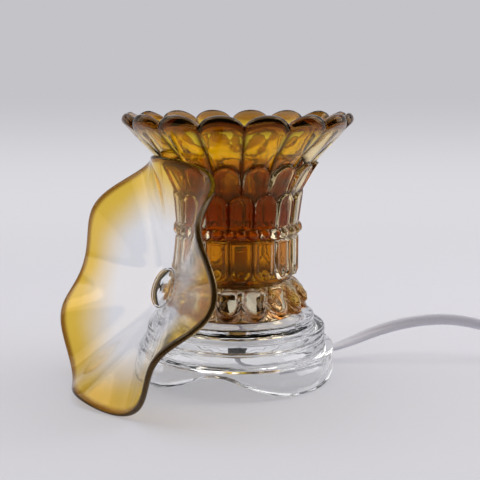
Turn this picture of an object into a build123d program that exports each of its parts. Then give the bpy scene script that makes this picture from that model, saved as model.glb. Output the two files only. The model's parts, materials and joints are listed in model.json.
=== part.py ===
from build123d import *
import os
from math import cos, hypot, pi, radians, sin, sqrt, tan

# Wax melt warmer: a pressed glass lamp with a lift-off shade, and its ruffled glass dish,
# which leans on the lamp. Millimetres and degrees, +Z up, +X to the right of the front view.
# The origin is on the surface that the lamp stands on, under the middle of the lamp.
os.makedirs("parts", exist_ok=True)

# Clearances
seat_gap = 0.3
running_gap = 0.25
bore_gap = 0.3
thread_gap = 0.06
axle_gap = 0.08

# Stepped base
top_radius = 41.3
top_height = 6.2
middle_tread = 5.8
middle_height = 11.3
skirt_tread = 4.9
skirt_height = 16.5
base_wall = 6.0
base_web = 7.0
step_round = 1.2
groove_radius = 1.1
groove_drop = 4.8
arch_count = 3
arch_height = 13.4
arch_shoulder = 5.6
arch_half_width = 41.0
front_arch_angle = -102.5
collar_height = 3.5
collar_wall = 3.0

# Shade: radii, and heights above its foot
petal_count = 16
valley_angle = -86.65
shade_bore = 26.0
foot_radius = 31.4
lobe_bottom = 2.2
lobe_widest = 5.3
lobe_bottom_radius = 37.0
lobe_radius = 39.3
lobe_depth = 2.6
lobe_notch = 5.4
lobe_top = 18.0
lobe_fullness = 0.6
lobe_shoulder_share = 0.7
neck_height = 19.1
neck_radius = 28.9
waist_height = 21.6
waist_radius = 30.7
waist_top = 62.5
flare_height = 71.0
flare_radius = 34.2
middle_flare_height = 85.5
middle_flare_radius = 45.4
rim_height = 101.4
rim_radius = 60.3
crown_height = 106.0
crown_radius = 57.5
petal_depth = 2.8
flare_hollow = 0.7
petal_notch = 5.7
flare_wall = 5.4
middle_flare_wall = 7.2
crown_wall = 4.4

# Raised rows on the shade
scale_relief = 1.6
scale_sink = 2.6
scale_round = 1.2
upper_scale_width = 13.2
upper_scale_foot = 62.5
upper_scale_top = 81.0
upper_scale_foot_radius = 31.2
upper_scale_top_radius = 41.6
lower_scale_width = 12.2
lower_scale_foot = 48.5
lower_scale_top = 66.3
lower_scale_foot_radius = 31.0
lower_scale_top_radius = 33.4
flute_width = 11.4
flute_foot = 21.2
flute_top = 41.5
flute_radius = 31.0
bead_height = 46.0
bead_ring_radius = 31.4
large_bead = 3.4
small_bead = 2.6

# Dish, with its rim's middle where it leans on the lamp
dish_centre = (-52.5, -37.0, 60.1)
dish_turn = -56.1
dish_tilt = 22.8
dish_radius = 63.25
dish_depth = 21.0
dish_foot_radius = 11.5
dish_wall = 3.0
dish_curve = 1.15
dish_radius_ruffle = [(6, 2.2, 180.0), (2, 1.36, 84.0), (3, 1.54, -152.0)]
dish_height_ruffle = [(6, 5.25, 3.0), (2, 1.6, -21.0), (5, 0.8, 38.0)]
dish_half_sections = 13
dish_stations = (0.0, 0.35, 0.7, 1.0)
dish_step = 0.01
dish_foot_share = 0.8

# Clamp through the base
nipple_radius = 5.0
nipple_bore = 3.6
rubber_thickness = 1.0
rubber_radius = 10.0
washer_thickness = 1.2
washer_radius = 10.5
nut_height = 4.0
nut_across_flats = 14.0
nipple_below_nut = 1.0
bush_flange_radius = 5.4
bush_flange = 1.4
bush_length = 5.0
bush_bore = 2.8

# Lamp holder
holder_radius = 8.5
cap_height = 13.0
cap_wall = 1.2
cap_collar_height = 7.0
cap_collar_wall = 1.3
shell_height = 20.0
shell_wall = 0.6
shell_lip = 0.9
insulator_height = 4.0
screw_shell_bore = 6.2
screw_shell_wall = 0.4
screw_shell_height = 13.5
liner_wall = 0.8
contact_length = 8.0
contact_width = 3.4
contact_strip = 0.5
contact_bump = 0.6
contact_bump_radius = 1.5
terminal_spacing = 9.6
terminal_head_radius = 2.0
terminal_head = 1.6
terminal_shank_radius = 1.2
terminal_shank = 3.0

# Screw-in lamp
tip_radius = 2.4
tip_height = 1.1
bulb_insulator_height = 1.9
bulb_cap_radius = 5.8
bulb_cap_wall = 0.4
bulb_cap_height = 12.6
thread_count = 5
thread_depth = 0.5
bulb_radius = 10.2
bulb_glass_wall = 0.8
bulb_widest = 17.5
bulb_length = 40.0
neck_in_cap = 5.0
stem_radius = 3.0
stem_top_radius = 1.2
stem_height = 16.0
lead_radius = 0.35
lead_spacing = 9.0
lead_height = 24.0
filament_radius = 0.3
filament_rise = 5.0

# Cord and cores
cord_width = 6.6
cord_thickness = 3.2
core_radius = 1.2
core_spacing = 2.9
core_bend = 4.0
core_lean = 0.7
bend_share = 0.45
cord_exit_angle = 17.5

# Switch on the cord
switch_centre = (211.0, 7.0)
switch_length = 58.0
switch_width = 24.0
switch_half = 8.5
switch_wall = 1.8
switch_corner = 6.0
wheel_radius = 9.0
wheel_width = 6.0
wheel_stand_out = 3.4
wheel_ribs = 24
wheel_rib = 0.5
axle_radius = 1.5
switch_cord_gap = 0.7
switch_screw_spacing = 36.0
switch_screw_side = 7.5
screw_head_radius = 2.6
screw_head = 1.6
screw_shank_radius = 1.4
screw_shank = 9.5
boss_wall = 1.4
contact_leaf = 0.6
contact_leaf_width = 3.0
contact_leaf_length = 17.0

# Coil of the length that is put away, its tie and the plug
coil_centre = (235.0, 64.0)
coil_least_radius = 27.5
coil_pitch = 4.3
coil_layer_pitch = 7.2
coil_turns_in = 3.0
coil_turns_out = 3.25
reversal = 0.25
tie_thickness = 1.2
tie_width = 6.0
tie_gap = 0.6
tie_angle = 230.0
plug_body_length = 21.0
plug_body_width = 23.0
plug_body_thickness = 16.0
plug_neck_length = 8.0
plug_neck_radius = 5.2
plug_corner = 4.0
blade_length = 16.0
blade_width = 6.3
blade_thickness = 1.5
blade_spacing = 12.7
blade_in_body = 6.0

# Radii and heights that follow from the sizes above
middle_radius = top_radius + middle_tread
skirt_radius = middle_radius + skirt_tread
base_height = skirt_height + middle_height + top_height
web_bottom = base_height - base_web
shade_foot = base_height + seat_gap
nut_top = web_bottom - rubber_thickness - washer_thickness
nipple_bottom = nut_top - nut_height - nipple_below_nut
cord_top = nipple_bottom - bush_flange
holder_foot = base_height + rubber_thickness
cap_top = holder_foot + cap_height
nipple_top = holder_foot + cap_collar_height
insulator_top = cap_top + insulator_height
shell_top = cap_top + shell_height
bulb_foot = insulator_top + contact_strip + contact_bump + running_gap
bulb_cap_foot = bulb_foot + tip_height + bulb_insulator_height
bulb_cap_top = bulb_cap_foot + bulb_cap_height


def ring_outline(inner, outer, low, high):
    """A rectangle in the XZ half plane, to be turned about Z."""
    with Locations(((inner + outer) / 2, (low + high) / 2)):
        Rectangle(outer - inner, high - low)


def bend_radii(points):
    """Each corner's arc: a share of its shorter run, over the tangent of half the turn."""
    radii = []
    for before, corner, after in zip(points, points[1:], points[2:]):
        run_in = Vector(*corner) - Vector(*before)
        run_out = Vector(*after) - Vector(*corner)
        half_turn = radians(run_in.get_angle(run_out)) / 2
        radii.append(bend_share * min(run_in.length, run_out.length) / tan(half_turn))
    return radii


def scalloped(height, radius, depth, turn):
    """A level face with one outward arc for each petal, pulled in by depth between them."""
    pitch = 360 / petal_count
    with BuildSketch(Plane.XY.offset(height)) as face:
        with BuildLine():
            for k in range(petal_count):
                start = turn + k * pitch
                ThreePointArc(
                    polar_point(radius - depth, start),
                    polar_point(radius, start + pitch / 2),
                    polar_point(radius - depth, start + pitch),
                )
        make_face()
    return face.sketch


def polar_point(radius, angle):
    return (radius * cos(radians(angle)), radius * sin(radians(angle)))


# Base: three steps, hollow from below, with arches between three feet
step_one = skirt_height + middle_height
with BuildPart() as glass_base:
    with BuildSketch(Plane.XZ):
        with BuildLine():
            Polyline(
                (nipple_radius + bore_gap, web_bottom),
                (top_radius - base_wall, web_bottom),
                (top_radius - base_wall, step_one - base_web),
                (middle_radius - base_wall, step_one - base_web),
                (middle_radius - base_wall, skirt_height - base_wall / 2),
                (skirt_radius - base_wall, skirt_height - base_wall / 2),
                (skirt_radius - base_wall, 0),
                (skirt_radius, 0),
                (skirt_radius, skirt_height),
                (middle_radius, skirt_height),
                (middle_radius, step_one),
                (top_radius, step_one),
                (top_radius, base_height),
                (shade_bore - bore_gap, base_height),
                (shade_bore - bore_gap, base_height + collar_height),
                (shade_bore - bore_gap - collar_wall, base_height + collar_height),
                (shade_bore - bore_gap - collar_wall, base_height),
                (nipple_radius + bore_gap, base_height),
                close=True,
            )
        make_face()
    revolve(axis=Axis.Z)
    fillet(
        glass_base.edges().filter_by(GeomType.CIRCLE).filter_by(
            lambda e: min(abs(e.radius - r) for r in (skirt_radius, middle_radius, top_radius)) < 0.01
            and e.center().Z > skirt_height / 2
            and any(abs(e.center().Z - z) < 0.01 for z in (skirt_height, step_one, base_height))
        ),
        step_round,
    )
    with BuildSketch(Plane.XZ):
        with Locations((middle_radius + groove_radius / 3, step_one - groove_drop)):
            Circle(groove_radius)
    revolve(axis=Axis.Z, mode=Mode.SUBTRACT)
    for k in range(arch_count):
        outward = polar_point(1, front_arch_angle + k * 360 / arch_count)
        across = Plane(origin=(0, 0, 0), x_dir=(-outward[1], outward[0], 0), z_dir=(*outward, 0))
        with BuildSketch(across.offset(skirt_radius / 2)):
            with BuildLine():
                Spline(
                    (-arch_half_width, 0),
                    (-arch_half_width / 2, arch_shoulder),
                    (0, arch_height),
                    (arch_half_width / 2, arch_shoulder),
                    (arch_half_width, 0),
                    tangents=[(1, 0), (1, 0)],
                )
                Polyline((arch_half_width, 0), (arch_half_width, -1), (-arch_half_width, -1),
                         (-arch_half_width, 0))
            make_face()
        extrude(amount=skirt_radius, mode=Mode.SUBTRACT)
glass_base.part.label = "glass_base"
export_step(glass_base.part, "parts/glass_base.step")


def tongue(foot, tip, width):
    """A raised pad with a round tip on a sloping wall, at +X; foot and tip are (radius, height)."""
    along = Vector(tip[0] - foot[0], 0, tip[1] - foot[1])
    outward = Vector(abs(along.Z), 0, -along.X if along.Z > 0 else along.X)
    wall = Plane(origin=(foot[0], 0, foot[1]), x_dir=along.cross(outward), z_dir=outward)
    straight = along.length - width / 2
    with BuildPart() as pad:
        with BuildSketch(wall.offset(-scale_sink)):
            with BuildLine():
                Polyline((-width / 2, straight), (-width / 2, 0), (width / 2, 0), (width / 2, straight))
                ThreePointArc((width / 2, straight), (0, along.length), (-width / 2, straight))
            make_face()
        extrude(amount=scale_sink + scale_relief)
        front = pad.faces().sort_by(Axis(wall.origin, wall.z_dir))[-1]
        fillet(front.edges(), scale_round)
    return pad.part


def notch(middle_height, peak_height, half_width, inside, outside):
    """A radial cutter at +X between two round tips, from inside to outside radius."""
    sag = abs(peak_height - middle_height)
    toward = 1 if peak_height > middle_height else -1
    tip_radius = (half_width**2 + sag**2) / (2 * sag)
    part_way = half_width / 2
    drop = tip_radius - sqrt(tip_radius**2 - part_way**2)
    beyond = peak_height + toward * sag
    side = Plane(origin=(inside, 0, 0), x_dir=(0, 1, 0), z_dir=(1, 0, 0))
    with BuildPart() as cutter:
        with BuildSketch(side):
            with BuildLine():
                for way in (-1, 1):
                    ThreePointArc(
                        (way * half_width, peak_height),
                        (way * part_way, peak_height - toward * drop),
                        (0, middle_height),
                    )
                Polyline((-half_width, peak_height), (-half_width, beyond), (half_width, beyond),
                         (half_width, peak_height))
            make_face()
        extrude(amount=outside - inside)
    return cutter.part


# Shade: a turned core with lofted petals and lobes, raised rows and beads, bored and notched
half_pitch = 180 / petal_count
petal_sections = [
    (flare_height, flare_radius, petal_depth / 6),
    ((flare_height + middle_flare_height) / 2, (flare_radius + middle_flare_radius) / 2 - flare_hollow,
     petal_depth / 3),
    (middle_flare_height, middle_flare_radius, petal_depth / 2),
    (rim_height, rim_radius, petal_depth),
    (crown_height, crown_radius, petal_depth),
]
upper_scale = tongue(
    (upper_scale_foot_radius, shade_foot + upper_scale_foot),
    (upper_scale_top_radius, shade_foot + upper_scale_top), upper_scale_width)
lower_scale = tongue(
    (lower_scale_foot_radius, shade_foot + lower_scale_foot),
    (lower_scale_top_radius, shade_foot + lower_scale_top), lower_scale_width)
flute = tongue(
    (flute_radius, shade_foot + flute_top), (flute_radius, shade_foot + flute_foot), flute_width)
petal_cut = notch(
    shade_foot + crown_height - petal_notch, shade_foot + crown_height,
    crown_radius * sin(radians(half_pitch)), middle_flare_radius, rim_radius + petal_depth)
lobe_cut = notch(
    shade_foot + lobe_bottom + lobe_notch, shade_foot + lobe_bottom,
    lobe_radius * sin(radians(half_pitch)), foot_radius, lobe_radius + lobe_depth)
with BuildPart() as glass_shade:
    with BuildSketch(Plane.XZ):
        with BuildLine():
            Polyline(
                (0, shade_foot),
                (foot_radius, shade_foot),
                (foot_radius, shade_foot + lobe_top - foot_radius + neck_radius),
                (neck_radius, shade_foot + neck_height),
                (waist_radius, shade_foot + waist_height),
                (waist_radius, shade_foot + waist_top),
                (flare_radius, shade_foot + flare_height),
                (0, shade_foot + flare_height),
                close=True,
            )
        make_face()
    revolve(axis=Axis.Z)
    loft(
        sections=[
            scalloped(shade_foot + height, radius, depth, valley_angle)
            for height, radius, depth in petal_sections
        ],
        ruled=True,
    )
    loft(sections=[
        scalloped(shade_foot + lobe_bottom, lobe_bottom_radius, lobe_depth, valley_angle),
        scalloped(shade_foot + lobe_widest, lobe_radius, lobe_depth, valley_angle),
        scalloped(
            shade_foot + (lobe_widest + lobe_top) / 2, (lobe_radius + foot_radius) / 2 + lobe_fullness,
            lobe_depth * lobe_shoulder_share, valley_angle),
        scalloped(shade_foot + lobe_top, neck_radius + lobe_fullness / 2, lobe_depth / 6, valley_angle),
    ])
    with PolarLocations(0, petal_count, start_angle=valley_angle + half_pitch):
        add(upper_scale)
    with PolarLocations(0, petal_count, start_angle=valley_angle):
        add(lower_scale)
        add(flute)
    with PolarLocations(bead_ring_radius, petal_count, start_angle=valley_angle):
        with Locations((0, 0, shade_foot + bead_height)):
            Sphere(large_bead)
    with PolarLocations(bead_ring_radius, petal_count, start_angle=valley_angle + half_pitch):
        with Locations((0, 0, shade_foot + bead_height)):
            Sphere(small_bead)
    with PolarLocations(0, petal_count, start_angle=valley_angle):
        add(petal_cut, mode=Mode.SUBTRACT)
        add(lobe_cut, mode=Mode.SUBTRACT)
    with BuildSketch(Plane.XZ):
        with BuildLine():
            Polyline(
                (0, shade_foot),
                (shade_bore, shade_foot),
                (shade_bore, shade_foot + waist_top),
                (flare_radius - flare_wall, shade_foot + flare_height),
                (middle_flare_radius - middle_flare_wall, shade_foot + middle_flare_height),
                (crown_radius - crown_wall, shade_foot + crown_height),
                (0, shade_foot + crown_height),
                close=True,
            )
        make_face()
    revolve(axis=Axis.Z, mode=Mode.SUBTRACT)
glass_shade.part.label = "glass_shade"
export_step(glass_shade.part, "parts/glass_shade.step")


# Dish: a ruffled wall lofted through half planes round its axis, on a turned foot
dish_axis = Vector(
    cos(radians(dish_tilt)) * sin(radians(dish_turn)),
    -cos(radians(dish_tilt)) * cos(radians(dish_turn)),
    sin(radians(dish_tilt)),
)
dish_up = (Vector(0, 0, 1) - dish_axis * dish_axis.Z).normalized()
dish_across = dish_axis.cross(dish_up)
dish_plane = Plane(origin=dish_centre, x_dir=dish_up, z_dir=dish_axis)


def ruffle(terms, angle):
    return sum(size * cos(radians(waves * angle - phase)) for waves, size, phase in terms)


def dish_section(angle):
    """The wall's outline in the half plane at this angle about the dish's axis."""
    radius = dish_radius + ruffle(dish_radius_ruffle, angle)
    rise = ruffle(dish_height_ruffle, angle)
    foot_middle = dish_wall / 2 - dish_depth

    def middle(share):
        slope = foot_middle * (1 - share**dish_curve) + rise * share**2
        return Vector(dish_foot_radius + (radius - dish_foot_radius) * share, slope)

    back, front = [], []
    for share in dish_stations:
        along = (middle(min(share + dish_step, 1)) - middle(max(share - dish_step, 0))).normalized()
        normal = Vector(-along.Y, along.X) if share else Vector(0, 1)
        back.append(middle(share) - normal * (dish_wall / 2))
        front.append(middle(share) + normal * (dish_wall / 2))
    lip = middle(1) + (middle(1) - middle(1 - dish_step)).normalized() * (dish_wall / 2)
    inner = dish_foot_radius / 2
    outward = dish_up * cos(radians(angle)) + dish_across * sin(radians(angle))
    half_plane = Plane(origin=dish_centre, x_dir=outward, z_dir=outward.cross(dish_axis))
    with BuildSketch(half_plane) as outline:
        with BuildLine():
            Line((inner, -dish_depth), back[0])
            Spline(*back)
            ThreePointArc(back[-1], lip, front[-1])
            Spline(*reversed(front))
            Polyline(front[0], (inner, dish_wall - dish_depth), (inner, -dish_depth))
        make_face()
    return outline.sketch


half_steps = [180 / (dish_half_sections - 1) * k for k in range(dish_half_sections)]
with BuildPart() as glass_dish:
    loft(sections=[dish_section(angle) for angle in half_steps])
    loft(sections=[dish_section(180 + angle) for angle in half_steps])
    with BuildSketch(dish_plane.offset(-dish_depth)):
        Circle(dish_foot_radius * dish_foot_share)
    extrude(amount=dish_wall)
glass_dish.part.label = "glass_dish"
export_step(glass_dish.part, "parts/glass_dish.step")


# Clamp: washers either side of the web, nut, threaded tube and the bush in its lower end
with BuildPart() as rubber_washer_upper:
    with BuildSketch(Plane.XZ):
        ring_outline(nipple_radius + bore_gap, rubber_radius, base_height, holder_foot)
    revolve(axis=Axis.Z)
rubber_washer_upper.part.label = "rubber_washer_upper"
export_step(rubber_washer_upper.part, "parts/rubber_washer_upper.step")

with BuildPart() as rubber_washer_lower:
    with BuildSketch(Plane.XZ):
        ring_outline(nipple_radius + bore_gap, rubber_radius, web_bottom - rubber_thickness, web_bottom)
    revolve(axis=Axis.Z)
rubber_washer_lower.part.label = "rubber_washer_lower"
export_step(rubber_washer_lower.part, "parts/rubber_washer_lower.step")

with BuildPart() as steel_washer:
    with BuildSketch(Plane.XZ):
        ring_outline(nipple_radius + bore_gap, washer_radius, nut_top, nut_top + washer_thickness)
    revolve(axis=Axis.Z)
steel_washer.part.label = "steel_washer"
export_step(steel_washer.part, "parts/steel_washer.step")

with BuildPart() as nipple_nut:
    with BuildSketch(Plane.XY.offset(nut_top - nut_height)):
        RegularPolygon(nut_across_flats / 2, 6, major_radius=False)
        Circle(nipple_radius + thread_gap, mode=Mode.SUBTRACT)
    extrude(amount=nut_height)
nipple_nut.part.label = "nipple_nut"
export_step(nipple_nut.part, "parts/nipple_nut.step")

with BuildPart() as threaded_nipple:
    with BuildSketch(Plane.XZ):
        ring_outline(nipple_bore, nipple_radius, nipple_bottom, nipple_top)
    revolve(axis=Axis.Z)
threaded_nipple.part.label = "threaded_nipple"
export_step(threaded_nipple.part, "parts/threaded_nipple.step")

with BuildPart() as nipple_bush:
    with BuildSketch(Plane.XZ):
        ring_outline(bush_bore, bush_flange_radius, cord_top, nipple_bottom)
        ring_outline(bush_bore, nipple_bore - thread_gap, nipple_bottom, nipple_bottom + bush_length)
    revolve(axis=Axis.Z)
nipple_bush.part.label = "nipple_bush"
export_step(nipple_bush.part, "parts/nipple_bush.step")

# Lamp holder: a cap screwed on the tube, a shell on the cap, and what they hold
collar_radius = nipple_radius + thread_gap + cap_collar_wall
with BuildPart() as holder_cap:
    with BuildSketch(Plane.XZ):
        ring_outline(holder_radius - cap_wall, holder_radius, holder_foot, cap_top)
        ring_outline(nipple_radius + thread_gap, holder_radius, holder_foot, holder_foot + cap_wall)
        ring_outline(nipple_radius + thread_gap, collar_radius, holder_foot, nipple_top)
    revolve(axis=Axis.Z)
holder_cap.part.label = "holder_cap"
export_step(holder_cap.part, "parts/holder_cap.step")

insulator_radius = holder_radius - shell_wall - thread_gap
with BuildPart() as holder_insulator:
    with BuildSketch(Plane.XY.offset(cap_top)):
        Circle(insulator_radius)
        with GridLocations(terminal_spacing, 0, 2, 1):
            Circle(terminal_shank_radius + thread_gap, mode=Mode.SUBTRACT)
    extrude(amount=insulator_height)
holder_insulator.part.label = "holder_insulator"
export_step(holder_insulator.part, "parts/holder_insulator.step")

with BuildPart() as terminal_screws:
    with BuildSketch(Plane.XY.offset(cap_top - terminal_head)):
        with GridLocations(terminal_spacing, 0, 2, 1):
            Circle(terminal_head_radius)
    extrude(amount=terminal_head)
    with BuildSketch(Plane.XY.offset(cap_top)):
        with GridLocations(terminal_spacing, 0, 2, 1):
            Circle(terminal_shank_radius)
    extrude(amount=terminal_shank)
terminal_screws.part.label = "terminal_screws"
export_step(terminal_screws.part, "parts/terminal_screws.step")

screw_shell_radius = screw_shell_bore + screw_shell_wall
with BuildPart() as holder_screw_shell:
    with BuildSketch(Plane.XZ):
        ring_outline(
            screw_shell_bore, screw_shell_radius, insulator_top, insulator_top + screw_shell_height)
    revolve(axis=Axis.Z)
holder_screw_shell.part.label = "holder_screw_shell"
export_step(holder_screw_shell.part, "parts/holder_screw_shell.step")

liner_radius = screw_shell_radius + thread_gap + liner_wall
with BuildPart() as holder_liner:
    with BuildSketch(Plane.XZ):
        ring_outline(liner_radius - liner_wall, liner_radius, insulator_top, shell_top - shell_wall)
    revolve(axis=Axis.Z)
holder_liner.part.label = "holder_liner"
export_step(holder_liner.part, "parts/holder_liner.step")

with BuildPart() as holder_shell:
    with BuildSketch(Plane.XZ):
        ring_outline(holder_radius - shell_wall, holder_radius, cap_top, shell_top)
        ring_outline(liner_radius - liner_wall, holder_radius, shell_top - shell_wall, shell_top)
        with Locations((holder_radius, shell_top - shell_lip / 2)):
            Circle(shell_lip / 2)
    revolve(axis=Axis.Z)
holder_shell.part.label = "holder_shell"
export_step(holder_shell.part, "parts/holder_shell.step")

with BuildPart() as holder_contact:
    with BuildSketch(Plane.XY.offset(insulator_top)):
        SlotOverall(contact_length, contact_width)
    extrude(amount=contact_strip)
    with BuildSketch(Plane.XY.offset(insulator_top + contact_strip)):
        Circle(contact_bump_radius)
    extrude(amount=contact_bump)
holder_contact.part.label = "holder_contact"
export_step(holder_contact.part, "parts/holder_contact.step")

# The cord's two cores, up the tube and out to the terminals
for name, side in (("wire_live", 1), ("wire_neutral", -1)):
    core_points = [
        (side * core_spacing / 2, 0, cord_top),
        (side * core_spacing / 2, 0, nipple_top),
        (side * (terminal_spacing / 2), 0, cap_top - terminal_head - core_radius * core_lean),
    ]
    with BuildPart() as wire:
        with BuildLine():
            FilletPolyline(*core_points, radius=core_bend)
        with BuildSketch(Plane(core_points[0])):
            Circle(core_radius)
        sweep()
    wire.part.label = name
    export_step(wire.part, f"parts/{name}.step")

# Screw-in lamp
with BuildPart() as bulb_contact:
    with BuildSketch(Plane.XZ):
        with BuildLine():
            Polyline(
                (0, bulb_foot), (tip_radius / 2, bulb_foot), (tip_radius, bulb_foot + tip_height),
                (0, bulb_foot + tip_height), close=True)
        make_face()
    revolve(axis=Axis.Z)
bulb_contact.part.label = "bulb_contact"
export_step(bulb_contact.part, "parts/bulb_contact.step")

thread_root = bulb_cap_radius - thread_depth
with BuildPart() as bulb_insulator:
    with BuildSketch(Plane.XZ):
        with BuildLine():
            Polyline(
                (0, bulb_foot + tip_height), (tip_radius, bulb_foot + tip_height),
                (thread_root, bulb_cap_foot), (0, bulb_cap_foot), close=True)
        make_face()
    revolve(axis=Axis.Z)
bulb_insulator.part.label = "bulb_insulator"
export_step(bulb_insulator.part, "parts/bulb_insulator.step")

thread_pitch = bulb_cap_height / thread_count
with BuildPart() as bulb_cap:
    with BuildSketch(Plane.XZ):
        with BuildLine():
            for k in range(thread_count):
                low = bulb_cap_foot + k * thread_pitch
                ThreePointArc(
                    (thread_root, low), (bulb_cap_radius, low + thread_pitch / 2),
                    (thread_root, low + thread_pitch))
            Polyline(
                (thread_root, bulb_cap_top),
                (thread_root - bulb_cap_wall, bulb_cap_top),
                (thread_root - bulb_cap_wall, bulb_cap_foot),
                (thread_root, bulb_cap_foot),
            )
        make_face()
    revolve(axis=Axis.Z)
bulb_cap.part.label = "bulb_cap"
export_step(bulb_cap.part, "parts/bulb_cap.step")

neck_radius_outside = thread_root - bulb_cap_wall - thread_gap
neck_foot = bulb_cap_top - neck_in_cap
bulb_top = bulb_cap_top + bulb_length
with BuildPart() as bulb_glass:
    with BuildSketch(Plane.XZ):
        with BuildLine():
            Line((neck_radius_outside - bulb_glass_wall, neck_foot), (neck_radius_outside, neck_foot))
            Line((neck_radius_outside, neck_foot), (neck_radius_outside, bulb_cap_top))
            Spline(
                (neck_radius_outside, bulb_cap_top), (bulb_radius, bulb_cap_top + bulb_widest),
                (0, bulb_top),
                tangents=[(0.4, 1), (-1, 0)])
            Line((0, bulb_top), (0, bulb_top - bulb_glass_wall))
            Spline(
                (0, bulb_top - bulb_glass_wall),
                (bulb_radius - bulb_glass_wall, bulb_cap_top + bulb_widest),
                (neck_radius_outside - bulb_glass_wall, bulb_cap_top),
                tangents=[(1, 0), (-0.4, -1)])
            Line((neck_radius_outside - bulb_glass_wall, bulb_cap_top),
                 (neck_radius_outside - bulb_glass_wall, neck_foot))
        make_face()
    revolve(axis=Axis.Z)
bulb_glass.part.label = "bulb_glass"
export_step(bulb_glass.part, "parts/bulb_glass.step")

stem_foot_radius = neck_radius_outside - bulb_glass_wall - thread_gap
stem_top = neck_foot + stem_height
with BuildPart() as bulb_stem:
    with BuildSketch(Plane.XZ):
        with BuildLine():
            Polyline(
                (0, neck_foot), (stem_foot_radius, neck_foot), (stem_radius, neck_foot + stem_radius),
                (stem_top_radius, stem_top), (0, stem_top), close=True)
        make_face()
    revolve(axis=Axis.Z)
bulb_stem.part.label = "bulb_stem"
export_step(bulb_stem.part, "parts/bulb_stem.step")

lead_foot = Vector(stem_top_radius + lead_radius, 0, stem_top - lead_radius)
lead_tip = Vector(lead_spacing / 2, 0, neck_foot + lead_height)
with BuildPart() as bulb_leads:
    with BuildLine():
        Line(lead_foot, lead_tip)
    with BuildSketch(Plane(origin=lead_foot, z_dir=lead_tip - lead_foot)):
        Circle(lead_radius)
    sweep()
    mirror(about=Plane.YZ)
bulb_leads.part.label = "bulb_leads"
export_step(bulb_leads.part, "parts/bulb_leads.step")

filament_end = Vector(lead_tip.X, 0, lead_tip.Z + lead_radius + filament_radius)
with BuildPart() as bulb_filament:
    with BuildLine() as bow:
        ThreePointArc(
            filament_end, (0, 0, filament_end.Z + filament_rise), (-filament_end.X, 0, filament_end.Z))
    with BuildSketch(Plane(origin=bow.line @ 0, z_dir=bow.line % 0)):
        Circle(filament_radius)
    sweep()
bulb_filament.part.label = "bulb_filament"
export_step(bulb_filament.part, "parts/bulb_filament.step")

# The coil spirals in on the floor, climbs a layer in the half turn where it reverses, and spirals out
coil_height = tie_thickness + tie_gap + cord_width / 2
coil_turns = coil_turns_in + coil_turns_out


def coil_radius(turn):
    """Radius after so many turns, with a rounded reversal at the least radius."""
    away = abs(turn - coil_turns_in)
    if away < reversal:
        return coil_least_radius + coil_pitch * (away**2 / reversal + reversal) / 2
    return coil_least_radius + coil_pitch * away


def coil_point(turn):
    climbed = min(max((turn - coil_turns_in) / (2 * reversal) + 0.5, 0), 1)
    height = coil_height + coil_layer_pitch * climbed**2 * (3 - 2 * climbed)
    x, y = polar_point(coil_radius(turn), 360 * turn)
    return Vector(coil_centre[0] + x, coil_centre[1] + y, height)


def coil_direction(turn):
    return (coil_point(turn + 0.001) - coil_point(turn - 0.001)).normalized()


def biarc_joint(start, start_way, end, end_way):
    """Where two arcs meet that leave start and reach end in the given directions."""
    chord = end - start
    ways = start_way + end_way
    turn = 2 * (1 - start_way.dot(end_way))
    reach = (sqrt(chord.dot(ways) ** 2 + turn * chord.dot(chord)) - chord.dot(ways)) / turn
    return (start + start_way * reach + end - end_way * reach) * 0.5


coil_entry = coil_point(0) - coil_direction(0) * cord_width
coil_exit_way = coil_direction(coil_turns)
coil_exit = coil_point(coil_turns) + coil_exit_way * cord_width

# Cord from under the base to the switch: down out of the bush, along and out under the right arch
lead_points = [
    (0, 0, cord_top), (0, 0, 13.6), (2.6, 0.8, 9.0), (7.1, 2.2, 6.5), (15.5, 4.9, 5.6), (31, 9.6, 5.4),
    (49, 15.5, 6.4), (65, 20.5, 10.6), (80, 23.5, 16.3), (97, 25.5, 20.5), (114, 26.2, 22.3),
    (127, 25.6, 21.8), (139.5, 24, 19.5), (150.5, 21.6, 16.2), (161, 17.2, 12.8), (171, 11, 10.2),
    (180, 7.6, 8.8), (188, 7, 8.5),
]

# From the switch round to the coil
tail_points = [
    (235, 7, 8.5), (245, 7.4, 8.2), (254.5, 11, 7.6), (262.8, 17.8, 6.9), (269, 27, 6.2), (273, 38, 5.6),
    tuple(coil_entry - coil_direction(0) * 1.5 * cord_width), tuple(coil_entry),
]


def flat_cord(points, wide_way):
    """The flat cord swept along straight runs and arcs; wide_way is its wide side at the start."""
    radii = bend_radii(points)
    print("arc radii", [round(r, 1) for r in radii])
    with BuildPart() as cord:
        with BuildLine() as route:
            FilletPolyline(*points, radius=radii)
        with BuildSketch(Plane(origin=points[0], x_dir=wide_way, z_dir=route.line % 0)):
            SlotOverall(cord_width, cord_thickness)
        sweep()
    section = cord_thickness * (cord_width - cord_thickness) + pi * cord_thickness**2 / 4
    print("volume over section times length", round(cord.part.volume / section / route.wire().length, 4))
    return cord.part


cord_lead = flat_cord(lead_points, (*polar_point(1, cord_exit_angle + 90), 0))
cord_lead.label = "cord_lead"
export_step(cord_lead, "parts/cord_lead.step")

cord_tail = flat_cord(tail_points, (0, 0, 1))
cord_tail.label = "cord_tail"
export_step(cord_tail, "parts/cord_tail.step")


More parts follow.
